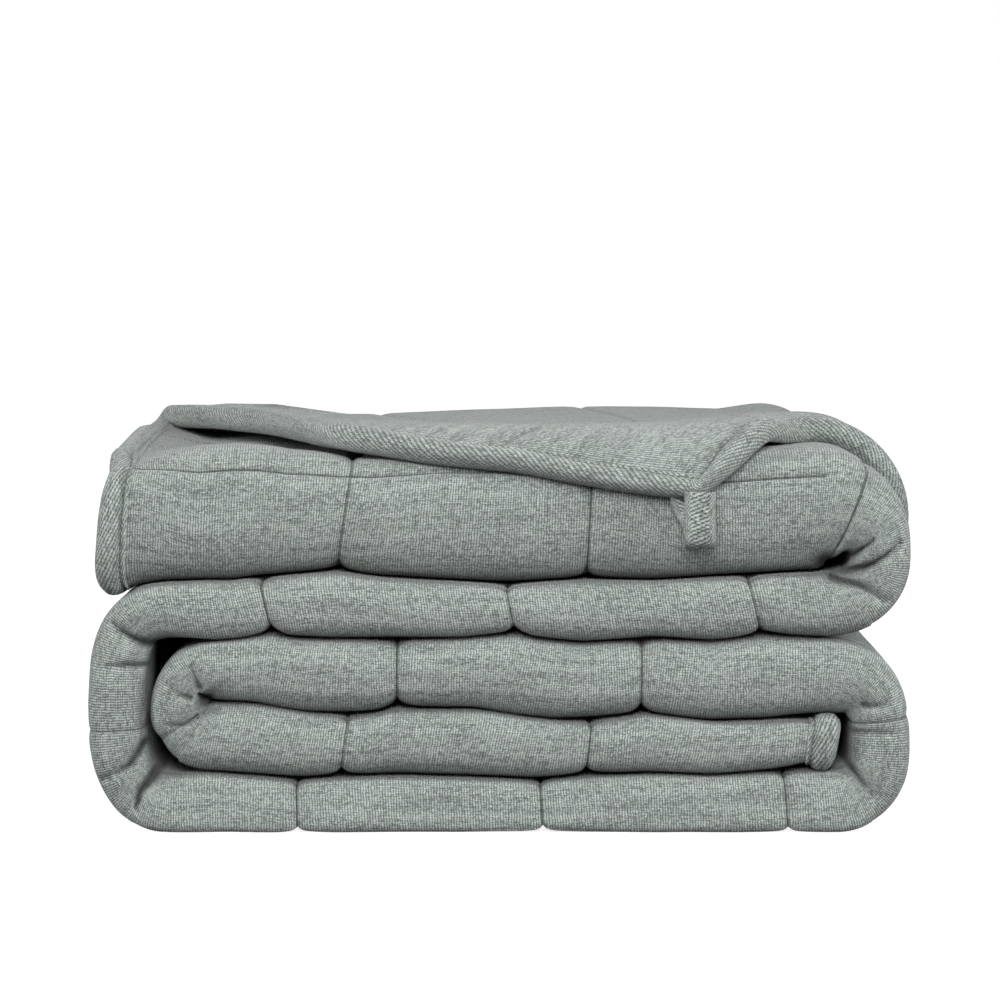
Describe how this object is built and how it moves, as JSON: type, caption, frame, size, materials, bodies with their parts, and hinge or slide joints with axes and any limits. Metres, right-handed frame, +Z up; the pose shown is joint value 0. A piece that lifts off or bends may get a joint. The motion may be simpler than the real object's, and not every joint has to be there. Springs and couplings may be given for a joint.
{
  "type": "folded weighted blanket",
  "caption": "Quilted weighted blanket with a bound edge and a corner loop, folded into a stack with one loose flap hanging over the front.",
  "frame": {"origin": "middle of the folded stack's footprint, on the surface that it rests on", "axes": "+Z up through the stack, +Y from the front fold to the back, +X to the right along the courses as seen from the front"},
  "size_m": [0.4027, 0.4767, 0.1992],
  "materials": {
    "quilted_knit": "matte",
    "bias_binding": "matte",
    "loop_tape": "matte"
  },
  "bodies": {
    "root": {"blanket": "quilted_knit", "binding": "bias_binding", "corner_loop": "loop_tape"}
  },
  "joints": []
}
